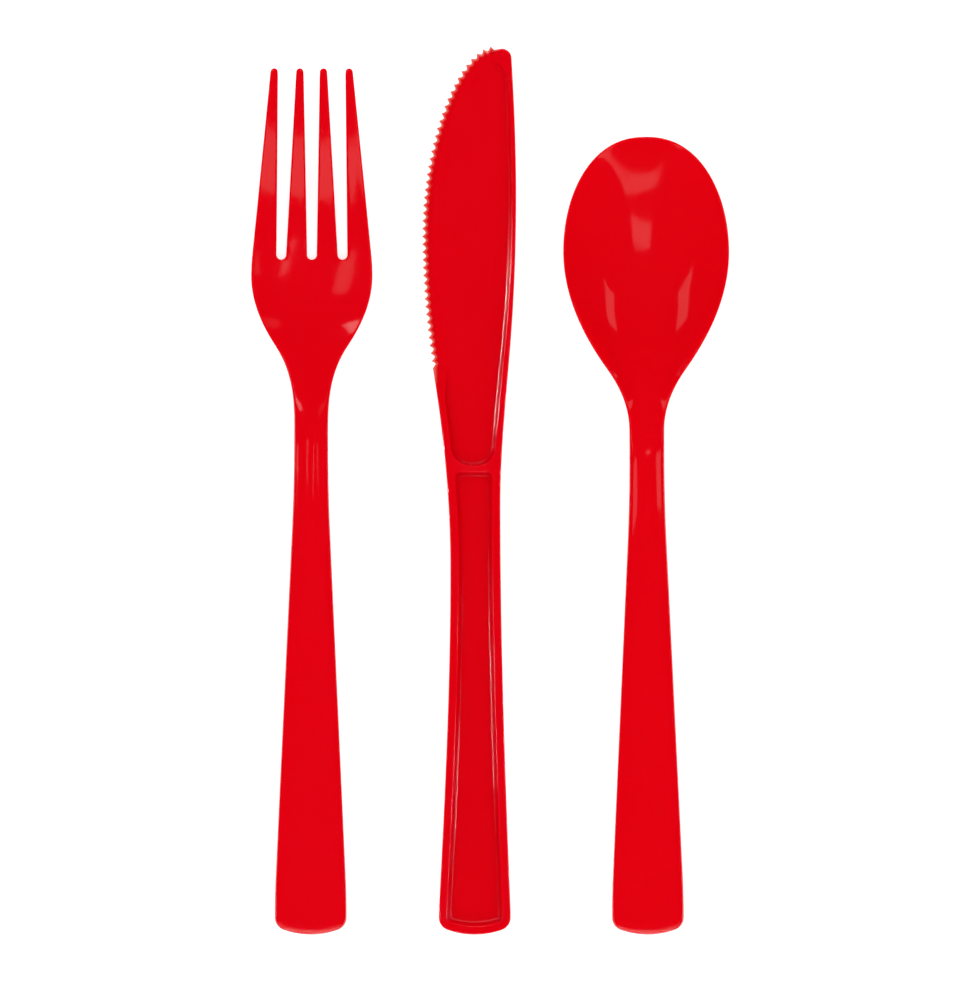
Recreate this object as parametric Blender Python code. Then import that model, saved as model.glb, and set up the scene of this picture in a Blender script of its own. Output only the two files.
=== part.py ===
"""A pack of throwaway cutlery in glossy red plastic: a fork, a knife and a spoon laid side by side.

Each piece is one moulding. The fork and the spoon lie face up: their handles are smooth on top and
hollow underneath. The knife lies on its flat back and shows the hollow side of its handle.
Metres, +Z up, +Y towards the tips. A piece's own y runs from its handle end to its tip.
"""

import math

import bmesh
import bpy
import numpy as np
from mathutils import Vector
from mathutils.geometry import delaunay_2d_cdt

MM = 0.001

# The pack as it is laid out
FORK_TO_KNIFE = 10.55 * MM
KNIFE_TO_SPOON = 10.03 * MM
FORK_TURN = math.radians(-0.1)
SPOON_TURN = math.radians(0.17)

# The handle that all three share
HANDLE_END_WIDTH = 15.4 * MM
HANDLE_END_RADIUS = 17.5 * MM
HANDLE_CORNER_RADIUS = 2.8 * MM
HANDLE_INNER_CORNER = 0.25 * MM
HANDLE_END_BLEND = 9.0 * MM
HANDLE_NECK_BLEND = 18.0 * MM
HANDLE_DEPTH = 3.5 * MM
HANDLE_SKIN = 1.4 * MM
HANDLE_CROWN = 0.35 * MM
NECK_CROWN = 0.7 * MM
HANDLE_EDGE = 0.9 * MM
NECK_EDGE = 1.6 * MM
HANDLE_FOOT = 0.25 * MM
HANDLE_RIM = 1.75 * MM
HOLLOW_DRAFT = 0.8 * MM
HANDLE_RISE = 0.075

# Fork
FORK_LENGTH = 185.3 * MM
FORK_NECK_FROM_TIP = 80.5 * MM
FORK_NECK_WIDTH = 7.3 * MM
FORK_NECK_HEIGHT = 10.4 * MM
FORK_SHOULDER_FROM_TIP = 59.1 * MM
FORK_SHOULDER_WIDTH = 15.7 * MM
FORK_SHOULDER_SPREAD = 0.66
FORK_WIDEST_FROM_TIP = 44.3 * MM
FORK_HEAD_BLEND = 4.6 * MM
FORK_HEAD_WIDTH = 26.0 * MM
FORK_TIP_SPAN = 17.5 * MM
FORK_HEEL_FROM_TIP = 49.0 * MM
FORK_TIP_HEIGHT = 11.6 * MM
FORK_TIP_PITCH = 0.33
FORK_WALL = 1.9 * MM
FORK_TIP_WALL = 1.5 * MM
FORK_DISH = 1.1 * MM
FORK_TIP_DISH = 0.35 * MM
FORK_DISH_POWER = 2.0
FORK_EDGE = 0.45 * MM
SLOT_DEPTH = 40.7 * MM
SLOT_ROOT_WIDTH = 2.05 * MM
SLOT_ROOT_PITCH = 6.56 * MM
MIDDLE_SLOT_MOUTH = 3.42 * MM
TINE_TIP_WIDTH = 1.58 * MM

# Spoon
SPOON_LENGTH = 170.8 * MM
SPOON_NECK_FROM_TIP = 68.6 * MM
SPOON_THROAT_FROM_TIP = 62.8 * MM
SPOON_NECK_WIDTH = 7.5 * MM
SPOON_NECK_HEIGHT = 10.8 * MM
SPOON_SHOULDER_FROM_TIP = 49.8 * MM
SPOON_SHOULDER_WIDTH = 16.8 * MM
SPOON_SHOULDER_SPREAD = 0.72
SPOON_WIDEST_FROM_TIP = 24.6 * MM
SPOON_BOWL_WIDTH = 35.5 * MM
SPOON_HEEL_FROM_TIP = 33.0 * MM
SPOON_RIM_HEIGHT = 8.0 * MM
SPOON_TIP_HEIGHT = 6.4 * MM
SPOON_TIP_PITCH = 0.30
SPOON_BLUNTNESS = 0.88
SPOON_BOWL_POWER = 2.4
SPOON_WALL = 1.3 * MM
SPOON_EDGE = 0.4 * MM

# Knife
KNIFE_LENGTH = 190.4 * MM
KNIFE_TAPER_HASTE = 1.6
KNIFE_END_BLEND = 3.0 * MM
KNIFE_SPINE_NECK_FROM_TIP = 98.4 * MM
KNIFE_SPINE_NECK_REACH = 5.5 * MM
KNIFE_EDGE_NECK_FROM_TIP = 112.4 * MM
KNIFE_EDGE_NECK_REACH = 5.22 * MM
KNIFE_SPINE_FROM_TIP = 32.0 * MM
KNIFE_SPINE_REACH = 8.89 * MM
KNIFE_SHOULDER_FROM_TIP = 67.0 * MM
KNIFE_SHOULDER_REACH = 7.43 * MM
KNIFE_SHOULDER_SPREAD = 0.085
KNIFE_NOSE_REACH = 7.9 * MM
KNIFE_NOSE_SLOPE = -0.06
KNIFE_NOSE_RADIUS = 2.1 * MM
KNIFE_NOSE_DROP = 0.6 * MM
KNIFE_NOSE_BAND = 6.3 * MM
KNIFE_FIRST_TOOTH_REACH = 4.2 * MM
KNIFE_NOSE_FULLNESS = 7.6 * MM
KNIFE_BELLY_FULLNESS = 20.0 * MM
KNIFE_BELLY_FROM_TIP = 39.9 * MM
KNIFE_BELLY_REACH = 11.35 * MM
KNIFE_HEEL_FROM_TIP = 68.4 * MM
KNIFE_HEEL_REACH = 9.12 * MM
KNIFE_HEEL_SPREAD = 0.17
KNIFE_HEEL_FADE = 8.0 * MM
KNIFE_RIB_DEPTH = 2.4 * MM
KNIFE_RIB_FADE_START = 2.4 * MM
KNIFE_RIB_FADE_END = 6.7 * MM
KNIFE_FLOOR = 1.4 * MM
KNIFE_WEB = 1.3 * MM
KNIFE_CUTTING_EDGE = 0.5 * MM
KNIFE_BEVEL = 2.3 * MM
KNIFE_EDGE = 0.4 * MM
KNIFE_SPINE_RIB = 0.9 * MM
KNIFE_SIDE_RIB = 1.5 * MM
KNIFE_POCKET_FROM_TIP = 90.1 * MM
KNIFE_POCKET_ROUND = 4.6 * MM
KNIFE_POCKET_SQUARENESS = 2.3
KNIFE_POCKET_DRAFT = 0.6 * MM
KNIFE_POCKET_NOSE_GAP = 7.4 * MM
KNIFE_POCKET_NOSE_REACH = 3.2 * MM
KNIFE_CROSS_WALL = 1.2 * MM
KNIFE_HOLLOW_CORNER = 1.2 * MM
TOOTH_PITCH = 1.66 * MM
TOOTH_DEPTH = 0.82 * MM
TOOTH_ROUNDNESS = 1.5
TOOTH_SHARES = (0.0, 0.15, 0.3, 0.5, 0.7, 0.85)

# How finely curves and faces are drawn
HANDLE_STEP = 7.0 * MM
CURVE_STEP = 2.6 * MM
TINE_STEP = 5.0 * MM
FACE_STEP = 2.5 * MM
FACE_MARGIN = 1.1 * MM
CORNER_POINTS = 5
ROUND_POINTS = 7
BOWL_POINTS = 15
EDGE_LINE_POINTS = 90


def smooth(stations, places):
    """Smooth curve through stations of (place, value, slope): one cubic from each to the next."""
    place, value, slope = (np.array(column, float) for column in zip(*stations))
    at = np.asarray(places, float)
    k = np.clip(np.searchsorted(place, at, side="right") - 1, 0, len(place) - 2)
    span = place[k + 1] - place[k]
    t = np.clip((at - place[k]) / span, 0.0, 1.0)
    near, far = t**3 - 2 * t**2 + t, t**3 - t**2
    rise = 3 * t**2 - 2 * t**3
    return value[k] * (1 - rise) + value[k + 1] * rise + span * (slope[k] * near + slope[k + 1] * far)


def ramp(places, start, end):
    """0 before start, 1 after end, and an even ease between them."""
    t = np.clip((np.asarray(places, float) - start) / (end - start), 0.0, 1.0)
    return t * t * (3 - 2 * t)


def arc(centre, radius, start, end, count):
    """Points on a circle from one angle to another, both ends included."""
    angles = np.linspace(math.radians(start), math.radians(end), count)
    return [(centre[0] + radius * math.cos(a), centre[1] + radius * math.sin(a)) for a in angles]


def spread(start, end, step):
    """Even places from start to end, both included, no further apart than about step."""
    return np.linspace(start, end, max(2, round(abs(end - start) / step) + 1))


def mirrored(right_half):
    """Closed outline, anticlockwise, from its right half, whose first and last points are on x = 0."""
    return right_half + [(-x, y) for x, y in reversed(right_half[1:-1])]


def inset(outline, distance):
    """The outline moved inwards, by one distance or by one for each point."""
    p = np.array(outline)
    run = np.roll(p, -1, axis=0) - np.roll(p, 1, axis=0)
    inwards = np.stack([-run[:, 1], run[:, 0]], axis=1) / np.linalg.norm(run, axis=1)[:, None]
    return p + inwards * np.broadcast_to(distance, len(p))[:, None]


def clearance(outline, points):
    """Distance of each point from an outline, negative outside it."""
    a = np.array(outline)
    b = np.roll(a, -1, axis=0)
    q = np.asarray(points)[:, None, :]
    side = b - a
    t = np.clip(((q - a) * side).sum(2) / (side * side).sum(1), 0.0, 1.0)
    distance = np.linalg.norm(q - a - t[:, :, None] * side, axis=2).min(1)
    crosses = (a[:, 1] > q[:, :, 1]) != (b[:, 1] > q[:, :, 1])
    rise = np.where(side[:, 1] == 0, 1.0, side[:, 1])
    passes = crosses & (q[:, :, 0] < a[:, 0] + (q[:, :, 1] - a[:, 1]) / rise * side[:, 0])
    return np.where(passes.sum(1) % 2 == 1, distance, -distance)


def grid_inside(outline, step, margin):
    """Points of a square grid, centred on x = 0, that lie inside an outline by a margin."""
    low, high = np.array(outline).min(0), np.array(outline).max(0)
    half = math.ceil(max(-low[0], high[0]) / step)
    x, y = np.meshgrid(np.arange(-half, half + 1) * step, np.arange(low[1] + step, high[1], step))
    points = np.stack([x.ravel(), y.ravel()], axis=1)
    return points[clearance(outline, points) > margin]


class Moulding:
    """A closed mesh built from rings of points, bands between them, and faces filled inside them."""

    def __init__(self):
        self.bm = bmesh.new()

    def points(self, plan, heights):
        """Mesh points over plan positions."""
        heights = np.broadcast_to(heights, len(plan))
        return [self.bm.verts.new((x, y, z)) for (x, y), z in zip(plan, heights)]

    def band(self, lower, upper):
        """A wall from one ring up to the next; both run anticlockwise seen from above."""
        for k in range(len(lower)):
            n = (k + 1) % len(lower)
            self.bm.faces.new((lower[k], lower[n], upper[n], upper[k]))

    def face(self, ring, inner_rings, loose, upwards):
        """Triangles that fill a ring, through its inner rings' sides and the loose points."""
        verts = list(ring)
        edges = [(k, (k + 1) % len(ring)) for k in range(len(ring))]
        for inner in inner_rings:
            first = len(verts)
            verts += inner
            edges += [(first + k, first + (k + 1) % len(inner)) for k in range(len(inner))]
        verts += loose
        plan = np.array([(v.co.x, v.co.y) for v in verts]) / MM
        result = delaunay_2d_cdt([Vector(p) for p in plan], edges, [], 0, 1e-6, True)
        source = np.array([ids[0] for ids in result[3]])
        triangles = source[np.array(result[2])]
        within = clearance(plan[: len(ring)], plan[triangles].mean(1)) > 0
        for triangle in triangles[within]:
            corners = [verts[k] for k in triangle]
            self.bm.faces.new(corners if upwards else reversed(corners))

    def finish(self, name, place, turn, colour, roughness):
        """The finished object, standing at its place in the pack."""
        bmesh.ops.triangulate(self.bm, faces=self.bm.faces[:])
        bmesh.ops.recalc_face_normals(self.bm, faces=self.bm.faces[:])
        mesh = bpy.data.meshes.new(name)
        self.bm.to_mesh(mesh)
        self.bm.free()
        mesh.shade_smooth()
        mesh.set_sharp_from_angle(angle=math.radians(35))
        piece = bpy.data.objects.new(name, mesh)
        piece.location = place
        piece.rotation_euler.z = turn
        mesh.materials.append(red_plastic(name, colour, roughness))
        bpy.context.scene.collection.objects.link(piece)
        return piece


def red_plastic(name, colour, roughness):
    """Glossy injection-moulded plastic; the colour is linear."""
    material = bpy.data.materials.new(f"{name}_red_plastic")
    material.use_nodes = True
    shader = material.node_tree.nodes["Principled BSDF"]
    shader.inputs["Base Color"].default_value = (*colour, 1.0)
    shader.inputs["Roughness"].default_value = roughness
    shader.inputs["Metallic"].default_value = 0.0
    return material


def handle_end(in_by=0.0):
    """Right half of the handle's end, moved in by a distance: a long arc, then a corner into the side."""
    corner_radius = max(HANDLE_CORNER_RADIUS - in_by, HANDLE_INNER_CORNER)
    reach = HANDLE_END_WIDTH / 2 - in_by - corner_radius
    to_corner = HANDLE_END_RADIUS - in_by - corner_radius
    lean = math.degrees(math.asin(reach / to_corner))
    rise = HANDLE_END_RADIUS - math.sqrt(to_corner**2 - reach**2)
    end = arc((0.0, HANDLE_END_RADIUS), HANDLE_END_RADIUS - in_by, -90, lean - 90, CORNER_POINTS)
    corner = arc((reach, rise), corner_radius, lean - 90, 0, CORNER_POINTS)
    end[0] = (0.0, in_by)
    return end + corner[1:]


def taper(neck, neck_width):
    """Stations of the handle's half width: its end, one straight taper, and its neck."""
    flare = handle_end()[-1][1]
    near, far = HANDLE_END_BLEND, HANDLE_NECK_BLEND
    slope = (neck_width - HANDLE_END_WIDTH) / 2 / (neck - flare - (near + far) / 2)
    return [
        (flare, HANDLE_END_WIDTH / 2, 0.0),
        (flare + near, HANDLE_END_WIDTH / 2 + slope * near / 2, slope),
        (neck - far, neck_width / 2 - slope * far / 2, slope),
        (neck, neck_width / 2, 0.0),
    ]


def side(stations, end, fine_from):
    """Right side from the handle's end up to a place: one short step, long ones, then fine ones."""
    start = stations[0][0]
    along_handle = spread(start, fine_from, HANDLE_STEP)[1:]
    places = np.concatenate([[start + CURVE_STEP / 2], along_handle, spread(fine_from, end, CURVE_STEP)[1:]])
    return list(zip(smooth(stations, places), places))


def hollow(outline, stations, top, in_by):
    """Outline of a handle's hollow, one distance in from the handle's own outline, with a round top."""
    half = float(smooth(stations, top))
    centre = top + HANDLE_RIM - half
    end = handle_end(in_by)
    low, high = end[-1][1] + CURVE_STEP / 4, centre - CURVE_STEP / 4
    beside = [(float(x), float(y)) for x, y in inset(outline, in_by) if x > 0 and low < y < high]
    right = end + beside + arc((0.0, centre), half - in_by, 0, 90, CORNER_POINTS)
    right[-1] = (0.0, centre + half - in_by)
    return mirrored(right)


def dished_piece(outline, half_width, keel, rails, power, wall, neck, shoulder, edge):
    """A fork or a spoon: face, underside and handle hollow, all lifted from one flat outline.

    The face runs from the keel, its height along the middle, to the rails, its height along the
    sides. The underside is flat across the handle, and past the neck it follows the face.
    """

    def face_height(plan):
        x, y = np.array(plan).T
        across = np.clip(np.abs(x) / smooth(half_width, y), 0.0, 1.0)
        middle, sides = smooth(keel, y), smooth(rails, y)
        return middle + (sides - middle) * across**power

    def under_height(plan):
        y = np.array(plan)[:, 1]
        follows = ramp(y, neck, shoulder)
        flat = smooth(rails, y) - HANDLE_DEPTH
        return flat * (1 - follows) + (face_height(plan) - smooth(wall, y)) * follows

    body = Moulding()
    y = np.array(outline)[:, 1]
    round_off = smooth(edge, y)
    foot = HANDLE_FOOT
    lean = 1 - math.sqrt(0.5)
    top_plan = inset(outline, round_off)
    turn_plan = inset(outline, round_off * lean)
    foot_plan = inset(outline, foot)
    top_ring = body.points(top_plan, face_height(top_plan))
    turn_ring = body.points(turn_plan, face_height(turn_plan) - round_off * lean)
    brow_ring = body.points(outline, face_height(outline) - round_off)
    skirt_ring = body.points(outline, under_height(outline) + foot)
    foot_ring = body.points(foot_plan, under_height(foot_plan))
    for lower, upper in (
        (foot_ring, skirt_ring),
        (skirt_ring, brow_ring),
        (brow_ring, turn_ring),
        (turn_ring, top_ring),
    ):
        body.band(lower, upper)

    loose = grid_inside(top_plan, FACE_STEP, FACE_MARGIN)
    body.face(top_ring, [], body.points(loose, face_height(loose)), True)

    mouth = np.array(hollow(outline, half_width, neck, HANDLE_RIM))
    roof = np.array(hollow(outline, half_width, neck, HANDLE_RIM + HOLLOW_DRAFT))
    mouth_ring = body.points(mouth, under_height(mouth))
    roof_ring = body.points(roof, face_height(roof) - HANDLE_SKIN)
    loose = grid_inside(foot_plan, FACE_STEP, FACE_MARGIN)
    outside = loose[clearance(mouth, loose) < -FACE_MARGIN]
    within = loose[clearance(roof, loose) > FACE_MARGIN]
    fill = body.points(outside, under_height(outside)) + body.points(within, face_height(within) - HANDLE_SKIN)
    body.face(foot_ring, [mouth_ring, roof_ring], fill, False)
    return body


def tine(outer_side, inner_side, root, tip):
    """Right side, round tip and left side of one tine; its sides are straight, as (root x, tip x)."""
    radius = (outer_side[1] - inner_side[1]) / 2
    places = spread(root, tip - radius, TINE_STEP)
    part = (places - root) / (tip - root)
    right = list(zip(outer_side[0] + (outer_side[1] - outer_side[0]) * part, places))
    left = list(zip(inner_side[0] + (inner_side[1] - inner_side[0]) * part, places))
    centre = ((right[-1][0] + left[-1][0]) / 2, tip - radius)
    return right[:-1] + arc(centre, radius, 0, 180, ROUND_POINTS) + left[-2::-1]


def fork():
    """Fork: a dished head with four tapering tines, on a hollow-backed handle."""
    length = FORK_LENGTH
    neck = length - FORK_NECK_FROM_TIP
    shoulder = length - FORK_SHOULDER_FROM_TIP
    widest = length - FORK_WIDEST_FROM_TIP
    heel = length - FORK_HEEL_FROM_TIP
    root = length - SLOT_DEPTH
    blend = FORK_HEAD_BLEND
    tine_slope = (FORK_TIP_SPAN - FORK_HEAD_WIDTH) / 2 / (FORK_WIDEST_FROM_TIP - blend / 2)
    half_width = taper(neck, FORK_NECK_WIDTH) + [
        (shoulder, FORK_SHOULDER_WIDTH / 2, FORK_SHOULDER_SPREAD),
        (widest, FORK_HEAD_WIDTH / 2, 0.0),
        (widest + blend, FORK_HEAD_WIDTH / 2 + tine_slope * blend / 2, tine_slope),
        (length, FORK_TIP_SPAN / 2, tine_slope),
    ]
    web = SLOT_ROOT_WIDTH / 2
    root_centre = root + web
    slot_outer = (SLOT_ROOT_PITCH + web, FORK_TIP_SPAN / 2 - TINE_TIP_WIDTH)
    slot_inner = (SLOT_ROOT_PITCH - web, MIDDLE_SLOT_MOUTH / 2 + TINE_TIP_WIDTH)
    middle_slot = (web, MIDDLE_SLOT_MOUTH / 2)
    right = handle_end() + side(half_width, root_centre, neck)[:-1]
    head_side = (float(smooth(half_width, root_centre)), FORK_TIP_SPAN / 2)
    outer = tine(head_side, slot_outer, root_centre, length)
    count = (len(outer) - ROUND_POINTS) // 2 + 1
    right += [(float(smooth(half_width, y)), y) for _, y in outer[:count]] + outer[count:-1]
    right += arc((SLOT_ROOT_PITCH, root_centre), web, 0, -180, ROUND_POINTS)[:-1]
    right += tine(slot_inner, middle_slot, root_centre, length)[:-1]
    right += arc((0.0, root_centre), web, 0, -90, CORNER_POINTS)
    right[-1] = (0.0, root)
    keel = [
        (0.0, HANDLE_DEPTH + HANDLE_CROWN, HANDLE_RISE),
        (neck, FORK_NECK_HEIGHT, 0.0),
        (heel, FORK_WALL, 0.0),
        (length, FORK_TIP_HEIGHT, FORK_TIP_PITCH),
    ]
    rails = [
        (0.0, HANDLE_DEPTH, HANDLE_RISE),
        (neck, FORK_NECK_HEIGHT - NECK_CROWN, 0.0),
        (heel, FORK_WALL + FORK_DISH, 0.0),
        (length, FORK_TIP_HEIGHT + FORK_TIP_DISH, FORK_TIP_PITCH),
    ]
    wall = [(neck, FORK_WALL, 0.0), (heel, FORK_WALL, 0.0), (length, FORK_TIP_WALL, 0.0)]
    edge = [
        (0.0, HANDLE_EDGE, 0.0),
        (neck, NECK_EDGE, 0.0),
        (widest, FORK_EDGE, 0.0),
        (length, FORK_EDGE, 0.0),
    ]
    power = FORK_DISH_POWER
    return dished_piece(mirrored(right), half_width, keel, rails, power, wall, neck, shoulder, edge)


def spoon():
    """Spoon: an egg-shaped bowl with an even wall, on a hollow-backed handle."""
    length = SPOON_LENGTH
    neck = length - SPOON_NECK_FROM_TIP
    shoulder = length - SPOON_SHOULDER_FROM_TIP
    widest = length - SPOON_WIDEST_FROM_TIP
    heel = length - SPOON_HEEL_FROM_TIP
    half_bowl = SPOON_BOWL_WIDTH / 2
    half_width = taper(neck, SPOON_NECK_WIDTH) + [
        (length - SPOON_THROAT_FROM_TIP, SPOON_NECK_WIDTH / 2, 0.0),
        (shoulder, SPOON_SHOULDER_WIDTH / 2, SPOON_SHOULDER_SPREAD),
        (widest, half_bowl, 0.0),
    ]
    nose = [
        (half_bowl * math.cos(a) ** SPOON_BLUNTNESS, widest + SPOON_WIDEST_FROM_TIP * math.sin(a))
        for a in np.linspace(0, math.pi / 2, BOWL_POINTS)[1:-1]
    ]
    right = handle_end() + side(half_width, widest, neck) + nose + [(0.0, length)]
    rim_slope = (SPOON_TIP_HEIGHT - SPOON_RIM_HEIGHT) / SPOON_HEEL_FROM_TIP
    keel = [
        (0.0, HANDLE_DEPTH + HANDLE_CROWN, HANDLE_RISE),
        (neck, SPOON_NECK_HEIGHT, 0.0),
        (heel, SPOON_WALL, 0.0),
        (length, SPOON_TIP_HEIGHT, SPOON_TIP_PITCH),
    ]
    rails = [
        (0.0, HANDLE_DEPTH, HANDLE_RISE),
        (neck, SPOON_NECK_HEIGHT - NECK_CROWN, 0.0),
        (heel, SPOON_RIM_HEIGHT, rim_slope),
        (length, SPOON_TIP_HEIGHT, rim_slope),
    ]
    wall = [(neck, SPOON_WALL, 0.0), (length, SPOON_WALL, 0.0)]
    edge = [
        (0.0, HANDLE_EDGE, 0.0),
        (neck, NECK_EDGE, 0.0),
        (widest, SPOON_EDGE, 0.0),
        (length, SPOON_EDGE, 0.0),
    ]
    power = SPOON_BOWL_POWER
    return dished_piece(mirrored(right), half_width, keel, rails, power, wall, neck, shoulder, edge)


def cutting_edge():
    """Line through the tooth tips, from the nose down to the heel, with its points close together."""
    top = KNIFE_LENGTH
    belly = top - KNIFE_BELLY_FROM_TIP
    t = np.linspace(1.0, 0.0, EDGE_LINE_POINTS)[:, None]
    nose = (
        (1 - t) ** 3 * [-KNIFE_BELLY_REACH, belly]
        + 3 * (1 - t) ** 2 * t * [-KNIFE_BELLY_REACH, belly + KNIFE_BELLY_FULLNESS]
        + 3 * (1 - t) * t**2 * [KNIFE_FIRST_TOOTH_REACH - KNIFE_NOSE_FULLNESS, top]
        + t**3 * [KNIFE_FIRST_TOOTH_REACH, top]
    )
    heel = top - KNIFE_HEEL_FROM_TIP
    stations = [(heel, KNIFE_HEEL_REACH, KNIFE_HEEL_SPREAD), (belly, KNIFE_BELLY_REACH, 0.0)]
    places = np.linspace(belly, heel, EDGE_LINE_POINTS)[1:]
    return np.concatenate([nose, np.stack([-smooth(stations, places), places], axis=1)])


def along(line, distances):
    """Points at given distances along a line, and the line's inward normals there."""
    steps = np.linalg.norm(np.diff(line, axis=0), axis=1)
    run = np.concatenate([[0.0], np.cumsum(steps)])
    points = np.stack([np.interp(distances, run, line[:, k]) for k in (0, 1)], axis=1)
    turn = np.gradient(line, run, axis=0)
    heading = np.stack([np.interp(distances, run, turn[:, k]) for k in (0, 1)], axis=1)
    heading /= np.linalg.norm(heading, axis=1)[:, None]
    return points, np.stack([-heading[:, 1], heading[:, 0]], axis=1)


def teeth(line):
    """Serrated line: pointed tips on the given line, with a rounded gullet before and after each."""
    length = np.linalg.norm(np.diff(line, axis=0), axis=1).sum()
    count = round(length / TOOTH_PITCH)
    share = np.array(TOOTH_SHARES)
    from_tip = np.tile(np.abs(2 * share - 1), count)
    depth = TOOTH_DEPTH * (1 - (1 - from_tip) ** TOOTH_ROUNDNESS)
    places = (np.arange(count)[:, None] + share).ravel() * length / count
    points, inwards = along(line, places)
    return [tuple(p) for p in points + inwards * depth[:, None]]


def knife_sides():
    """Stations of the knife's reach from its axis: the spine's side, then the cutting edge's side."""
    end = handle_end()[-1][1]
    half = HANDLE_END_WIDTH / 2
    sides = []
    for neck_from_tip, reach in (
        (KNIFE_SPINE_NECK_FROM_TIP, KNIFE_SPINE_NECK_REACH),
        (KNIFE_EDGE_NECK_FROM_TIP, KNIFE_EDGE_NECK_REACH),
    ):
        neck = KNIFE_LENGTH - neck_from_tip
        slope = (reach - half) / (neck - end) * KNIFE_TAPER_HASTE
        bent = (end + KNIFE_END_BLEND, half + slope * KNIFE_END_BLEND / 2, slope)
        sides.append([(end, half, 0.0), bent, (neck, reach, 0.0)])
    spine, edge = sides
    nose = KNIFE_LENGTH - KNIFE_NOSE_DROP - KNIFE_NOSE_RADIUS
    spine += [
        (KNIFE_LENGTH - KNIFE_SHOULDER_FROM_TIP, KNIFE_SHOULDER_REACH, KNIFE_SHOULDER_SPREAD),
        (KNIFE_LENGTH - KNIFE_SPINE_FROM_TIP, KNIFE_SPINE_REACH, 0.0),
        (nose, KNIFE_NOSE_REACH, KNIFE_NOSE_SLOPE),
    ]
    edge += [(KNIFE_LENGTH - KNIFE_HEEL_FROM_TIP, KNIFE_HEEL_REACH, KNIFE_HEEL_SPREAD)]
    return spine, edge


def knife_outline(edge_line):
    """The knife's outline, anticlockwise from the middle of its handle end, with a given edge line."""
    spine, edge = knife_sides()
    nose = spine[-1][0]
    right = handle_end() + side(spine, nose, spine[2][0])[:-1]
    right += arc((KNIFE_NOSE_REACH - KNIFE_NOSE_RADIUS, nose), KNIFE_NOSE_RADIUS, 0, 90, CORNER_POINTS)
    left = handle_end()[1:] + side(edge, edge[-1][0], edge[2][0])[:-1]
    return right + list(edge_line) + [(-x, y) for x, y in reversed(left)]


def joining_curve(before, after, reach, count):
    """Points of a curve that leaves one line's end and meets the next line's start smoothly."""
    start, end = np.array(before[-1]), np.array(after[0])
    out, back = start - before[-2], end - after[1]
    a = start + out / np.linalg.norm(out) * reach
    b = end + back / np.linalg.norm(back) * reach
    t = np.linspace(0, 1, count + 2)[1:-1, None]
    return (1 - t) ** 3 * start + 3 * (1 - t) ** 2 * t * a + 3 * (1 - t) * t**2 * b + t**3 * end


def blade_pocket(plain, up):
    """Outline of the blade's sunk web: beside the spine rib, across the nose, along the bevel, and
    down beside the edge-side rim to a rounded end before the handle."""
    x, y = np.array(plain).T
    foot = KNIFE_LENGTH - KNIFE_POCKET_FROM_TIP
    belly = KNIFE_LENGTH - KNIFE_BELLY_FROM_TIP
    spine_wall = smooth([(foot, KNIFE_SIDE_RIB, 0.0), (belly, KNIFE_SPINE_RIB, 0.0)], y)
    edge_wall = KNIFE_SIDE_RIB * up + (KNIFE_BEVEL + KNIFE_POCKET_DRAFT) * (1 - up)
    inner = inset(plain, np.where(x > 0, spine_wall, edge_wall))
    above_foot = y > foot + KNIFE_POCKET_ROUND
    spine_side = inner[(x > 0) & above_foot & (y < KNIFE_LENGTH - KNIFE_POCKET_NOSE_GAP)]
    edge_side = inner[(x < 0) & above_foot]
    across_nose = joining_curve(spine_side, edge_side, KNIFE_POCKET_NOSE_REACH, ROUND_POINTS)
    angle = np.linspace(math.pi, 2 * math.pi, 2 * ROUND_POINTS - 1)[1:-1]
    depth = (edge_side[-1][1] + spine_side[0][1]) / 2 - foot
    reach = np.where(np.cos(angle) < 0, -edge_side[-1][0], spine_side[0][0])
    rounded = 2 / KNIFE_POCKET_SQUARENESS
    foot_x = reach * np.sign(np.cos(angle)) * np.abs(np.cos(angle)) ** rounded
    foot_y = foot + depth - depth * np.abs(np.sin(angle)) ** rounded
    return np.concatenate([spine_side, across_nose, edge_side, np.stack([foot_x, foot_y], axis=1)])


def knife_hollow(plain, in_by):
    """Outline of the knife handle's hollow, one distance in, with a square top before the blade."""
    draft = in_by - HANDLE_RIM
    top = KNIFE_LENGTH - KNIFE_POCKET_FROM_TIP - KNIFE_CROSS_WALL - draft
    corner = KNIFE_HOLLOW_CORNER - draft
    end = handle_end(in_by)
    inner = inset(plain, in_by)
    x, y = inner.T
    beside = (y > end[-1][1] + CURVE_STEP / 4) & (y < top - corner - CURVE_STEP / 4)
    right, left = inner[beside & (x > 0)], inner[beside & (x < 0)]
    right_corner = arc((right[-1][0] - corner, top - corner), corner, 0, 90, CORNER_POINTS)
    left_corner = arc((left[0][0] + corner, top - corner), corner, 90, 180, CORNER_POINTS)
    left_end = [(-x, y) for x, y in reversed(end[1:])]
    return np.concatenate([end, right, right_corner, left_corner, left, left_end])


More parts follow.
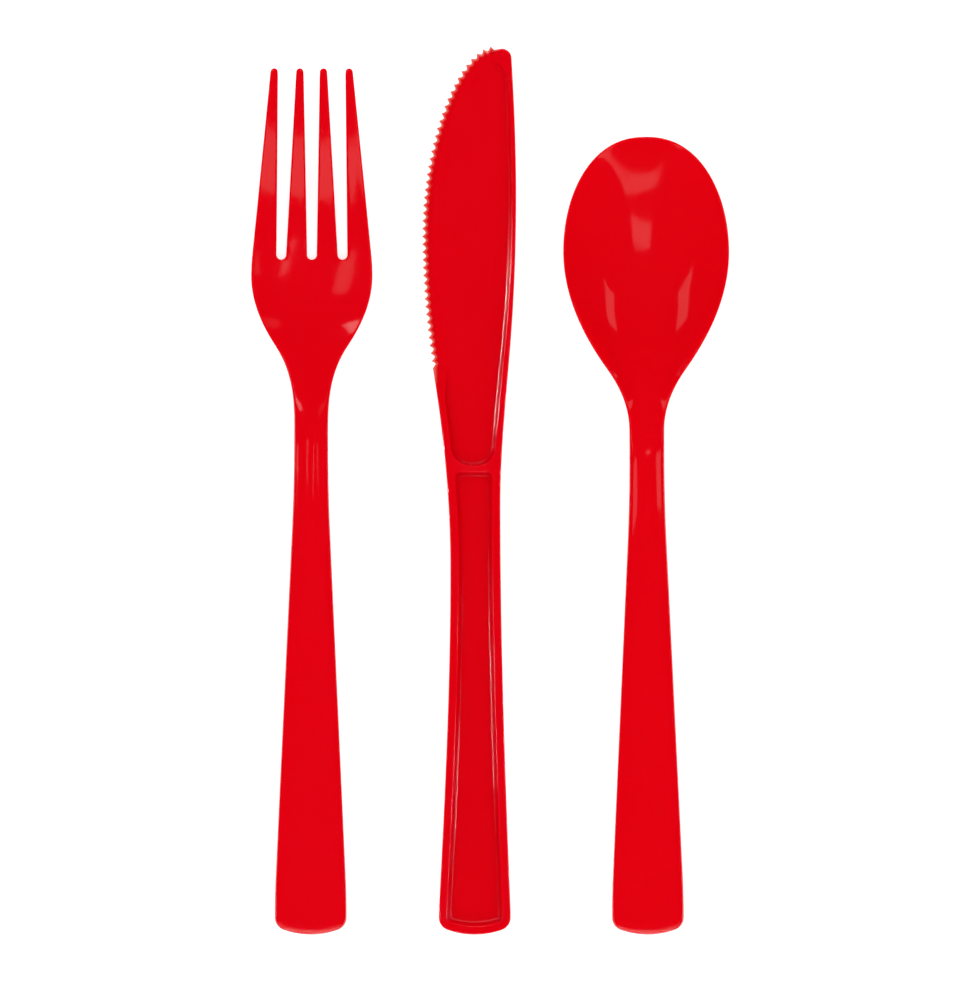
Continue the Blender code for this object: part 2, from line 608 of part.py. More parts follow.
def knife():
    """Knife: a serrated blade with a thin web behind a spine rib, and a handle hollow on top."""
    foot = KNIFE_LENGTH - KNIFE_POCKET_FROM_TIP
    heel = KNIFE_LENGTH - KNIFE_HEEL_FROM_TIP

    def raised(plan):
        """1 where the rim stands at its full height, 0 along the cutting edge."""
        x, y = np.array(plan).T
        near_nose = y > KNIFE_LENGTH - KNIFE_NOSE_BAND
        right = np.where(near_nose, ramp(x, KNIFE_RIB_FADE_START, KNIFE_RIB_FADE_END), 1.0)
        return np.where(x < 0, 1 - ramp(y, heel - KNIFE_HEEL_FADE, heel), right)

    def rim_height(plan, lowest, drop=0.0):
        """Height of the raised rim, less a drop, where it stands up, and of its lowest level elsewhere."""
        y = np.array(plan)[:, 1]
        full = smooth([(foot, HANDLE_DEPTH, 0.0), (KNIFE_LENGTH, KNIFE_RIB_DEPTH, 0.0)], y) - drop
        return lowest + (full - lowest) * raised(plan)

    body = Moulding()
    tips = cutting_edge()
    outline = knife_outline(teeth(tips))
    back_ring = body.points(outline, 0.0)
    side_ring = body.points(outline, rim_height(outline, KNIFE_CUTTING_EDGE, KNIFE_EDGE))
    body.band(back_ring, side_ring)
    body.face(back_ring, [], [], False)

    reach = np.linalg.norm(np.diff(tips, axis=0), axis=1).sum()
    plain = knife_outline(along(tips, spread(0.0, reach, CURVE_STEP))[0][1:-1])
    up = raised(plain)
    brow = inset(plain, KNIFE_EDGE * up + KNIFE_BEVEL * (1 - up))
    rings = [body.points(brow, rim_height(brow, KNIFE_WEB))]
    fill = []
    pocket = blade_pocket(plain, up)
    handle_mouth = knife_hollow(plain, HANDLE_RIM)
    handle_floor = knife_hollow(plain, HANDLE_RIM + HOLLOW_DRAFT)
    for mouth, floor, depth in (
        (pocket, inset(pocket, KNIFE_POCKET_DRAFT), KNIFE_WEB),
        (handle_mouth, handle_floor, KNIFE_FLOOR),
    ):
        rings += [body.points(mouth, rim_height(mouth, KNIFE_WEB)), body.points(floor, depth)]
        fill += body.points(grid_inside(floor, 2 * FACE_STEP, FACE_STEP / 2), depth)
    body.face(side_ring, rings, fill, True)
    return body


def clear_scene():
    """An empty scene to model in."""
    for item in list(bpy.data.objects):
        bpy.data.objects.remove(item, do_unlink=True)


clear_scene()
knife_width = KNIFE_BELLY_REACH + KNIFE_SPINE_REACH
total = FORK_HEAD_WIDTH + FORK_TO_KNIFE + knife_width + KNIFE_TO_SPOON + SPOON_BOWL_WIDTH
row = -KNIFE_LENGTH / 2
fork_lean = math.sin(FORK_TURN) * (FORK_LENGTH - FORK_WIDEST_FROM_TIP)
fork_x = -total / 2 + FORK_HEAD_WIDTH / 2 + fork_lean
knife_x = -total / 2 + FORK_HEAD_WIDTH + FORK_TO_KNIFE + KNIFE_BELLY_REACH
spoon_lean = math.sin(SPOON_TURN) * (SPOON_LENGTH - SPOON_WIDEST_FROM_TIP)
spoon_x = total / 2 - SPOON_BOWL_WIDTH / 2 + spoon_lean
fork().finish("fork", (fork_x, row, 0.0), FORK_TURN, (0.76, 0.002, 0.007), 0.12)
knife().finish("knife", (knife_x, row, 0.0), 0.0, (0.74, 0.002, 0.007), 0.12)
spoon().finish("spoon", (spoon_x, row, 0.0), SPOON_TURN, (0.77, 0.0015, 0.006), 0.1)
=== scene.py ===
import math

import bpy
import numpy as np
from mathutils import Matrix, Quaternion, Vector
from mathutils.geometry import delaunay_2d_cdt


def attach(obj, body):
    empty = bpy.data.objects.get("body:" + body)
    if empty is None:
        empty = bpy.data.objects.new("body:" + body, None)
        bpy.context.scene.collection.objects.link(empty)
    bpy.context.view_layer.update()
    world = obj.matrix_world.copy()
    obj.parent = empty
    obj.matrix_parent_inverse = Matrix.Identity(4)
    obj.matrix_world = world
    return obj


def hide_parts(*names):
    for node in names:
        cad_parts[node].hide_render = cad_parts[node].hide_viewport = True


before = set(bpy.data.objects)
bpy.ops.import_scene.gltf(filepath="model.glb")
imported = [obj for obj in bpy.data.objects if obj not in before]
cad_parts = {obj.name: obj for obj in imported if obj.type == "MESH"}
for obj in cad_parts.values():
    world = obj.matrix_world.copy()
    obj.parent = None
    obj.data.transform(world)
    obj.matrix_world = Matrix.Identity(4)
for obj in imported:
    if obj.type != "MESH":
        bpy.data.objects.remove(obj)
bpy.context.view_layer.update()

# Fork
# Injection-moulded polystyrene: four tapering tines on a thin dished head. The handle is crowned on
# top and hollow underneath, with a rim all round, so that it is stiff with little plastic.
# A piece's own y runs from its handle end to its tip, and x = 0 is its middle.
MM = 0.001
FORK_PLACE = (-38.406 * MM, -95.2 * MM)
FORK_TURN = math.radians(-0.1)
FORK_LENGTH = 185.3 * MM
FORK_NECK = FORK_LENGTH - 80.5 * MM
FORK_NECK_WIDTH = 7.3 * MM
FORK_NECK_HEIGHT = 10.4 * MM
FORK_SHOULDER = FORK_LENGTH - 59.1 * MM
FORK_SHOULDER_WIDTH = 15.7 * MM
FORK_SHOULDER_SPREAD = 0.66
FORK_WIDEST = FORK_LENGTH - 44.3 * MM
FORK_HEAD_BLEND = 4.6 * MM
FORK_HEAD_WIDTH = 26.0 * MM
FORK_TIP_SPAN = 17.5 * MM
FORK_HEEL = FORK_LENGTH - 49.0 * MM
FORK_TIP_HEIGHT = 11.6 * MM
FORK_TIP_PITCH = 0.33
FORK_WALL = 1.9 * MM
FORK_TIP_WALL = 1.5 * MM
FORK_DISH = 1.1 * MM
FORK_TIP_DISH = 0.35 * MM
FORK_DISH_POWER = 2.0
FORK_EDGE = 0.45 * MM
SLOT_ROOT = FORK_LENGTH - 40.7 * MM
SLOT_ROOT_WIDTH = 2.05 * MM
SLOT_ROOT_PITCH = 6.56 * MM
MIDDLE_SLOT_MOUTH = 3.42 * MM
TINE_TIP_WIDTH = 1.58 * MM
HANDLE_END_WIDTH = 15.4 * MM
HANDLE_END_RADIUS = 17.5 * MM
HANDLE_CORNER_RADIUS = 2.8 * MM
HANDLE_INNER_CORNER = 0.25 * MM
HANDLE_END_BLEND = 9.0 * MM
HANDLE_NECK_BLEND = 18.0 * MM
HANDLE_DEPTH = 3.5 * MM
HANDLE_SKIN = 1.4 * MM
HANDLE_CROWN = 0.35 * MM
NECK_CROWN = 0.7 * MM
HANDLE_END_EDGE = 1.0 * MM
HANDLE_EDGE = 0.5 * MM
HANDLE_EDGE_FROM = 26.0 * MM
NECK_EDGE = 0.6 * MM
HANDLE_FOOT = 0.25 * MM
HANDLE_RIM = 1.75 * MM
HANDLE_RISE = 0.075
HOLLOW_DRAFT = 0.8 * MM
HOLLOW_BROW = 0.3 * MM
HOLLOW_FILLET = 0.5 * MM
HANDLE_STEP = 1.4 * MM
CURVE_STEP = 0.7 * MM
FACE_STEP = 0.7 * MM
FACE_MARGIN = 0.3 * MM
ROUND_POINTS = 13
EDGE_STEPS = 7
FOOT_STEPS = 3
WALL_STEPS = 4
POINTS_AT_ONCE = 1500
DYE_PATCH = 22.222 * MM
SINK_LENGTH = 14.286 * MM
SINK_DEPTH = 0.04 * MM
RIPPLE_LENGTH = 3.125 * MM
RIPPLE_DEPTH = 0.012 * MM
STREAK_WIDTH = 0.3846 * MM
STREAK_STRETCH = 0.06
LIGHT_SPREAD = 1.2 * MM


def smooth(stations, places):
    """Cubic between stations of (place, value, slope), with t the share of the way:
    value 1 (1 - 3t² + 2t³) + value 2 (3t² - 2t³)
    + span (slope 1 (t³ - 2t² + t) + slope 2 (t³ - t²))."""
    place, value, slope = (np.array(column, float) for column in zip(*stations))
    at = np.asarray(places, float)
    k = np.clip(np.searchsorted(place, at, side="right") - 1, 0, len(place) - 2)
    span = place[k + 1] - place[k]
    t = np.clip((at - place[k]) / span, 0.0, 1.0)
    near, far = t**3 - 2 * t**2 + t, t**3 - t**2
    rise = 3 * t**2 - 2 * t**3
    return value[k] * (1 - rise) + value[k + 1] * rise + span * (slope[k] * near + slope[k + 1] * far)


def ramp(places, start, end):
    """3t² - 2t³, with t the share of the way from start to end, held at 0 before and at 1 after."""
    t = np.clip((np.asarray(places, float) - start) / (end - start), 0.0, 1.0)
    return t * t * (3 - 2 * t)


def arc(centre, radius, start, end, count=ROUND_POINTS):
    """centre + radius (cos a, sin a), with the angle a going evenly from start to end in degrees."""
    angles = np.radians(np.linspace(start, end, count))
    return np.stack([centre[0] + radius * np.cos(angles), centre[1] + radius * np.sin(angles)], axis=1)


def spread(start, end, step):
    """Even places from start to end, both included, about one step apart."""
    return np.linspace(start, end, max(2, round(abs(end - start) / step) + 1))


def mirrored(right_half):
    """The right half and then its mirror image (-x, y) backwards: one closed anticlockwise outline."""
    return np.concatenate([right_half, right_half[-2:0:-1] * [-1, 1]])


def inset(outline, distance):
    """Each point moved inwards along the normal of the chord between its two neighbours."""
    run = np.roll(outline, -1, axis=0) - np.roll(outline, 1, axis=0)
    inwards = np.stack([-run[:, 1], run[:, 0]], axis=1) / np.linalg.norm(run, axis=1)[:, None]
    return outline + inwards * np.broadcast_to(distance, len(outline))[:, None]


def clearance(outline, points):
    """Distance from each point to the nearest side of an outline, negative outside: a point is
    inside when a line from it towards -x crosses an odd number of sides."""
    a, b = outline, np.roll(outline, -1, axis=0)
    side = b - a
    rise = np.where(side[:, 1] == 0, 1.0, side[:, 1])
    found = []
    for q in np.array_split(points, len(points) // POINTS_AT_ONCE + 1):
        q = q[:, None, :]
        t = np.clip(((q - a) * side).sum(2) / (side * side).sum(1), 0.0, 1.0)
        distance = np.linalg.norm(q - a - t[:, :, None] * side, axis=2).min(1)
        crosses = (a[:, 1] > q[:, :, 1]) != (b[:, 1] > q[:, :, 1])
        passes = crosses & (q[:, :, 0] < a[:, 0] + (q[:, :, 1] - a[:, 1]) / rise * side[:, 0])
        found.append(np.where(passes.sum(1) % 2 == 1, distance, -distance))
    return np.concatenate(found)


def grid_inside(outline, step, margin):
    """Points of a square grid, centred on x = 0, that lie inside an outline by a margin."""
    low, high = outline.min(0), outline.max(0)
    half = math.ceil(max(-low[0], high[0]) / step)
    x, y = np.meshgrid(np.arange(-half, half + 1) * step, np.arange(low[1] + step / 2, high[1], step))
    points = np.stack([x.ravel(), y.ravel()], axis=1)
    return points[clearance(outline, points) > margin]


class Moulding:
    """A closed surface: rings of points over the plan, bands between them, and caps inside them."""

    def __init__(self):
        self.points, self.marks, self.quads, self.triangles, self.count = [], [], [], [], 0

    def ring(self, plan, heights, mark=0.0):
        """Numbers of the new points (x, y, height). The material paints a paler glow where the mark is
        high.
        """
        self.points.append(np.column_stack([plan, np.broadcast_to(heights, len(plan))]))
        self.marks.append(np.broadcast_to(mark, len(plan)))
        first, self.count = self.count, self.count + len(plan)
        return np.arange(first, self.count)

    def bands(self, rings):
        """Quads from points k and k + 1 of each ring to the same points of the next ring, which is
        above it on an outer wall and inside it on a face."""
        for first, then in zip(rings, rings[1:]):
            self.quads.append(np.stack([first, np.roll(first, -1), np.roll(then, -1), then], axis=1))

    def cap(self, ring, holes, loose, upwards):
        """Triangles over the plan inside a ring and outside its holes, through the loose points."""
        parts = [ring, *holes]
        numbers = np.concatenate([*parts, loose])
        plan = np.concatenate(self.points)[numbers, :2] / MM
        starts = np.cumsum([0] + [len(part) for part in parts])
        counts = [np.arange(len(part)) for part in parts]
        sides = [np.stack([count, np.roll(count, -1)], axis=1) for count in counts]
        edges = np.concatenate([start + side for start, side in zip(starts, sides)])
        result = delaunay_2d_cdt([Vector(p) for p in plan], edges.tolist(), [], 0, 1e-7, True)
        source = np.array([ids[0] for ids in result[3]])
        found = source[np.array(result[2])]
        middle = plan[found].mean(1)
        within = clearance(plan[: len(ring)], middle) > 0
        for start, hole in zip(starts[1:], holes):
            within &= clearance(plan[start : start + len(hole)], middle) < 0
        found = numbers[found[within]]
        self.triangles.append(found if upwards else found[:, ::-1])

    def piece(self, name, place, turn, material):
        """The finished object, turned about its handle's end at its place. A point's normal is the
        sum of its faces' area vectors, so that a flat face stays flat up to its rounded edge."""
        points = np.concatenate(self.points)
        quads, triangles = np.concatenate(self.quads), np.concatenate(self.triangles)
        spin = np.array([[math.cos(turn), -math.sin(turn)], [math.sin(turn), math.cos(turn)]])
        points[:, :2] = points[:, :2] @ spin.T + place
        normals = np.zeros_like(points)
        a, b, c, d = (points[quads[:, k]] for k in range(4))
        np.add.at(normals, quads.ravel(), np.repeat(np.cross(c - a, d - b), 4, axis=0))
        a, b, c = (points[triangles[:, k]] for k in range(3))
        np.add.at(normals, triangles.ravel(), np.repeat(np.cross(b - a, c - a), 3, axis=0))
        normals /= np.linalg.norm(normals, axis=1)[:, None]
        mesh = bpy.data.meshes.new(name)
        mesh.from_pydata(points.tolist(), [], quads.tolist() + triangles.tolist())
        mesh.shade_smooth()
        mesh.normals_split_custom_set_from_vertices(normals.tolist())
        # The marks become the attribute that paints a paler glow into the colour at the thin teeth.
        painted_glow = mesh.attributes.new("painted_glow", "FLOAT", "POINT")
        painted_glow.data.foreach_set("value", np.concatenate(self.marks).astype(np.float32))
        mesh.materials.append(material)
        item = bpy.data.objects.new(name, mesh)
        bpy.context.scene.collection.objects.link(item)
        return item


def handle_end(in_by=0.0):
    """Right half of the handle's end, moved in by a distance: a long arc, then a corner arc that
    touches both the long arc and the side."""
    corner_radius = max(HANDLE_CORNER_RADIUS - in_by, HANDLE_INNER_CORNER)
    reach = HANDLE_END_WIDTH / 2 - in_by - corner_radius
    to_corner = HANDLE_END_RADIUS - in_by - corner_radius
    lean = math.degrees(math.asin(reach / to_corner))
    rise = HANDLE_END_RADIUS - math.sqrt(to_corner**2 - reach**2)
    end = arc((0.0, HANDLE_END_RADIUS), HANDLE_END_RADIUS - in_by, -90, lean - 90)
    corner = arc((reach, rise), corner_radius, lean - 90, 0)
    end[0] = (0.0, in_by)
    return np.concatenate([end, corner[1:]])


def taper(neck, neck_width):
    """Stations of the handle's half width: its end, one straight taper, and its neck."""
    flare = handle_end()[-1, 1]
    near, far = HANDLE_END_BLEND, HANDLE_NECK_BLEND
    slope = (neck_width - HANDLE_END_WIDTH) / 2 / (neck - flare - (near + far) / 2)
    return [
        (flare, HANDLE_END_WIDTH / 2, 0.0),
        (flare + near, HANDLE_END_WIDTH / 2 + slope * near / 2, slope),
        (neck - far, neck_width / 2 - slope * far / 2, slope),
        (neck, neck_width / 2, 0.0),
    ]


def side(stations, end, fine_from):
    """Right side (half width, y) from the handle's end up to a place, finer from the neck on."""
    start = stations[0][0]
    coarse = spread(start, fine_from, HANDLE_STEP)[1:]
    fine = spread(fine_from, end, CURVE_STEP)[1:]
    places = np.concatenate([[start + CURVE_STEP / 2], coarse, fine])
    return np.stack([smooth(stations, places), places], axis=1)


def wall_profile(depth, draft, brow, fillet):
    """Ways in and shares of the depth down a leaning wall with a round brow and a round foot. With
    p = atan(depth/draft), a from 0 to p and then back: in = brow (sin a - tan(p/2)), down =
    brow (1 - cos a); in = draft + fillet (tan(p/2) - sin a), down = depth - fillet (1 - cos a)."""
    lean = math.atan2(depth, draft)
    a, ease = np.linspace(0, lean, WALL_STEPS + 1), math.tan(lean / 2)
    ways_in = np.concatenate([brow * (np.sin(a) - ease), draft + fillet * (ease - np.sin(a[::-1]))])
    down = np.concatenate([brow * (1 - np.cos(a)), depth - fillet * (1 - np.cos(a[::-1]))])
    return list(zip(ways_in, down / depth))


def hollow(outline, stations, top, in_by):
    """Outline of a handle's hollow, one distance in from the handle's outline, with a round top."""
    half = float(smooth(stations, top))
    centre = top + HANDLE_RIM - half
    x, y = outline.T
    beside = (x > 0) & (y > stations[0][0] + CURVE_STEP) & (y < centre - CURVE_STEP / 2)
    right = [handle_end(in_by), inset(outline, in_by)[beside], arc((0.0, centre), half - in_by, 0, 90)]
    right = np.concatenate(right)
    right[-1] = (0.0, centre + half - in_by)
    return mirrored(right)


def dished_piece(outline, half_width, keel, rails, power, wall, neck, shoulder, edge):
    """A fork's or a spoon's surface. With w the half width at y, the face's height is
    keel(y) + (rails(y) - keel(y)) |x / w|^power. The underside is rails(y) - HANDLE_DEPTH on the
    handle, and past the neck it eases into the face's height less the wall."""

    def face_height(plan):
        x, y = plan.T
        across = np.clip(np.abs(x) / smooth(half_width, y), 0.0, 1.0)
        middle, sides = smooth(keel, y), smooth(rails, y)
        return middle + (sides - middle) * across**power

    def under_height(plan):
        y = plan[:, 1]
        follows = ramp(y, neck, shoulder)
        flat = smooth(rails, y) - HANDLE_DEPTH
        return flat * (1 - follows) + (face_height(plan) - smooth(wall, y)) * follows

    body = Moulding()
    rings = []
    for a in np.linspace(math.pi / 2, 0, FOOT_STEPS + 1):
        plan = inset(outline, HANDLE_FOOT * (1 - math.cos(a)))
        rings.append(body.ring(plan, under_height(plan) + HANDLE_FOOT * (1 - math.sin(a))))
    foot_plan, foot_ring = inset(outline, HANDLE_FOOT), rings[0]
    round_off = smooth(edge, outline[:, 1])
    for a in np.linspace(0, math.pi / 2, EDGE_STEPS + 1):
        plan = inset(outline, round_off * (1 - math.cos(a)))
        rings.append(body.ring(plan, face_height(plan) - round_off * (1 - math.sin(a))))
    body.bands(rings)
    loose = grid_inside(plan, FACE_STEP, FACE_MARGIN)
    body.cap(rings[-1], [], body.ring(loose, face_height(loose)), True)

    rings = []
    for in_by, share in wall_profile(HANDLE_DEPTH - HANDLE_SKIN, HOLLOW_DRAFT, HOLLOW_BROW, HOLLOW_FILLET):
        plan = hollow(outline, half_width, neck, HANDLE_RIM + in_by)
        low = under_height(plan)
        rings.append(body.ring(plan, low + (face_height(plan) - HANDLE_SKIN - low) * share))
        if len(rings) == 1:
            mouth = plan
    body.bands(rings[::-1])
    loose = grid_inside(foot_plan, FACE_STEP, FACE_MARGIN)
    loose = loose[clearance(mouth, loose) < -FACE_MARGIN]
    body.cap(foot_ring, [rings[0]], body.ring(loose, under_height(loose)), False)
    loose = grid_inside(plan, FACE_STEP, FACE_MARGIN)
    body.cap(rings[-1], [], body.ring(loose, face_height(loose) - HANDLE_SKIN), False)
    return body


def tine(outer_side, inner_side, root, tip):
    """Right side, round tip and left side of one tine; its sides are straight, as (root x, tip x)."""
    radius = (outer_side[1] - inner_side[1]) / 2
    places = spread(root, tip - radius, CURVE_STEP)
    part = (places - root) / (tip - root)
    right = np.stack([outer_side[0] + (outer_side[1] - outer_side[0]) * part, places], axis=1)
    left = np.stack([inner_side[0] + (inner_side[1] - inner_side[0]) * part, places], axis=1)
    centre = ((right[-1, 0] + left[-1, 0]) / 2, tip - radius)
    return np.concatenate([right[:-1], arc(centre, radius, 0, 180), left[-2::-1]])


def fork_surface():
    """The fork: the slots between its tines are part of the outline."""
    tine_slope = (FORK_TIP_SPAN - FORK_HEAD_WIDTH) / 2 / (FORK_LENGTH - FORK_WIDEST - FORK_HEAD_BLEND / 2)
    half_width = taper(FORK_NECK, FORK_NECK_WIDTH) + [
        (FORK_SHOULDER, FORK_SHOULDER_WIDTH / 2, FORK_SHOULDER_SPREAD),
        (FORK_WIDEST, FORK_HEAD_WIDTH / 2, 0.0),
        (FORK_WIDEST + FORK_HEAD_BLEND, FORK_HEAD_WIDTH / 2 + tine_slope * FORK_HEAD_BLEND / 2, tine_slope),
        (FORK_LENGTH, FORK_TIP_SPAN / 2, tine_slope),
    ]
    web = SLOT_ROOT_WIDTH / 2
    root_centre = SLOT_ROOT + web
    slot_outer = (SLOT_ROOT_PITCH + web, FORK_TIP_SPAN / 2 - TINE_TIP_WIDTH)
    slot_inner = (SLOT_ROOT_PITCH - web, MIDDLE_SLOT_MOUTH / 2 + TINE_TIP_WIDTH)
    middle_slot = (web, MIDDLE_SLOT_MOUTH / 2)
    outer_side = (float(smooth(half_width, root_centre)), FORK_TIP_SPAN / 2)
    outer = tine(outer_side, slot_outer, root_centre, FORK_LENGTH)
    straight = (len(outer) - ROUND_POINTS) // 2 + 1
    outer[:straight, 0] = smooth(half_width, outer[:straight, 1])
    right = np.concatenate([
        handle_end(),
        side(half_width, root_centre, FORK_NECK)[:-1],
        outer[:-1],
        arc((SLOT_ROOT_PITCH, root_centre), web, 0, -180)[:-1],
        tine(slot_inner, middle_slot, root_centre, FORK_LENGTH)[:-1],
        arc((0.0, root_centre), web, 0, -90),
    ])
    right[-1] = (0.0, SLOT_ROOT)
    keel = [
        (0.0, HANDLE_DEPTH + HANDLE_CROWN, HANDLE_RISE),
        (FORK_NECK, FORK_NECK_HEIGHT, 0.0),
        (FORK_HEEL, FORK_WALL, 0.0),
        (FORK_LENGTH, FORK_TIP_HEIGHT, FORK_TIP_PITCH),
    ]
    rails = [
        (0.0, HANDLE_DEPTH, HANDLE_RISE),
        (FORK_NECK, FORK_NECK_HEIGHT - NECK_CROWN, 0.0),
        (FORK_HEEL, FORK_WALL + FORK_DISH, 0.0),
        (FORK_LENGTH, FORK_TIP_HEIGHT + FORK_TIP_DISH, FORK_TIP_PITCH),
    ]
    wall = [(FORK_NECK, FORK_WALL, 0.0), (FORK_HEEL, FORK_WALL, 0.0), (FORK_LENGTH, FORK_TIP_WALL, 0.0)]
    edge = [
        (0.0, HANDLE_END_EDGE, 0.0),
        (HANDLE_EDGE_FROM, HANDLE_EDGE, 0.0),
        (FORK_NECK, NECK_EDGE, 0.0),
        (FORK_WIDEST, FORK_EDGE, 0.0),
        (FORK_LENGTH, FORK_EDGE, 0.0),
    ]
    outline = mirrored(right)
    return dished_piece(
        outline, half_width, keel, rails, FORK_DISH_POWER, wall, FORK_NECK, FORK_SHOULDER, edge
    )


def linear(colour):
    """An sRGB hex colour as linear red, green, blue and 1: (c/255/12.92) when c is small, otherwise
    ((c/255 + 0.055) / 1.055)^2.4."""
    parts = [int(colour[k : k + 2], 16) / 255 for k in (1, 3, 5)]
    return (*(c / 12.92 if c <= 0.04045 else ((c + 0.055) / 1.055) ** 2.4 for c in parts), 1.0)


def add(tree, kind, inputs, **settings):
    """A new node with its settings; each input gets a plain value or a link from an output."""
    made = tree.nodes.new(kind)
    for name, value in settings.items():
        setattr(made, name, value)
    for key, value in inputs.items():
        if isinstance(value, bpy.types.NodeSocket):
            tree.links.new(value, made.inputs[key])
        else:
            made.inputs[key].default_value = value
    return made


def moulded_plastic(name, colour, deeper):
    """Glossy polystyrene as it leaves a polished mould."""
    material = bpy.data.materials.new(name)
    material.use_nodes = True
    tree = material.node_tree
    shader = tree.nodes["Principled BSDF"]
    place = tree.nodes.new("ShaderNodeTexCoord").outputs["Object"]
    # The dye is a touch deeper here and there, which only shows as a less even red.
    dye = add(tree, "ShaderNodeTexNoise", {"Vector": place, "Scale": 1 / DYE_PATCH, "Detail": 3.0})
    two_reds = {"Factor": dye.outputs["Fac"], "A": linear(colour), "B": linear(deeper)}
    red = add(tree, "ShaderNodeMix", two_reds, data_type="RGBA").outputs["Result"]
    # Painted glow: the base colour turns paler where the plastic is thin, for light coming through the tips
    # of the teeth.
    painted_glow = tree.nodes.new("ShaderNodeAttribute")
    painted_glow.attribute_name = "painted_glow"
    paler = {"Factor": painted_glow.outputs["Fac"], "A": red, "B": linear("#F4786A")}
    lit = add(tree, "ShaderNodeMix", paler, data_type="RGBA")
    tree.links.new(lit.outputs["Result"], shader.inputs["Base Color"])
    shader.inputs["IOR"].default_value = 1.59
    # Light spreads about a millimetre inside the plastic and softens the shade beside the walls.
    shader.inputs["Subsurface Weight"].default_value = 0.7
    shader.inputs["Subsurface Radius"].default_value = (1.0, 0.15, 0.1)
    shader.inputs["Subsurface Scale"].default_value = LIGHT_SPREAD
    # Long, low sinks from cooling make the reflections' edges wander, and small ripples break the
    # thin bright lines into dashes.
    sinks = add(tree, "ShaderNodeTexNoise", {"Vector": place, "Scale": 1 / SINK_LENGTH, "Detail": 1.0})
    sunk = {"Height": sinks.outputs["Fac"], "Strength": 1.0, "Distance": SINK_DEPTH}
    sunk = add(tree, "ShaderNodeBump", sunk).outputs["Normal"]
    ripples = add(tree, "ShaderNodeTexNoise", {"Vector": place, "Scale": 1 / RIPPLE_LENGTH, "Detail": 1.0})
    rippled = {"Height": ripples.outputs["Fac"], "Strength": 1.0, "Distance": RIPPLE_DEPTH, "Normal": sunk}
    bump = add(tree, "ShaderNodeBump", rippled)
    # Flow lines and handling marks run along the piece and dull the gloss in fine streaks.
    stretched = add(tree, "ShaderNodeMapping", {"Vector": place, "Scale": (1.0, STREAK_STRETCH, 1.0)})
    streaks = {"Vector": stretched.outputs["Vector"], "Scale": 1 / STREAK_WIDTH, "Detail": 4.0}
    streaks = add(tree, "ShaderNodeTexNoise", streaks).outputs["Fac"]
    gloss = {"Value": streaks, "From Min": 0.35, "From Max": 0.8, "To Min": 0.05, "To Max": 0.12}
    dulled = add(tree, "ShaderNodeMapRange", gloss)
    tree.links.new(bump.outputs["Normal"], shader.inputs["Normal"])
    tree.links.new(dulled.outputs["Result"], shader.inputs["Roughness"])
    return material


fork_plastic = moulded_plastic("polystyrene_fork_polished_mould", "#E40011", "#E00010")
fork = fork_surface().piece("fork_moulding", FORK_PLACE, FORK_TURN, fork_plastic)
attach(fork, "root")
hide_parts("fork")

# Spoon
# Injection-moulded polystyrene: an egg-shaped bowl with an even wall and a rounded rim, on the same
# hollow-backed handle as the fork's.
SPOON_PLACE = (33.844 * MM, -95.2 * MM)
SPOON_TURN = math.radians(0.17)
SPOON_LENGTH = 170.8 * MM
SPOON_NECK = SPOON_LENGTH - 68.6 * MM
SPOON_THROAT = SPOON_LENGTH - 62.8 * MM
SPOON_NECK_WIDTH = 7.5 * MM
SPOON_NECK_HEIGHT = 10.8 * MM
SPOON_SHOULDER = SPOON_LENGTH - 49.8 * MM
SPOON_SHOULDER_WIDTH = 16.8 * MM
SPOON_SHOULDER_SPREAD = 0.72
SPOON_WIDEST = SPOON_LENGTH - 24.6 * MM
SPOON_BOWL_WIDTH = 35.5 * MM
SPOON_HEEL = SPOON_LENGTH - 33.0 * MM
SPOON_RIM_HEIGHT = 8.0 * MM
SPOON_TIP_HEIGHT = 6.4 * MM
SPOON_TIP_PITCH = 0.30
SPOON_BLUNTNESS = 0.88
SPOON_BOWL_POWER = 2.4
SPOON_WALL = 1.3 * MM
SPOON_EDGE = 0.4 * MM
BOWL_POINTS = 48


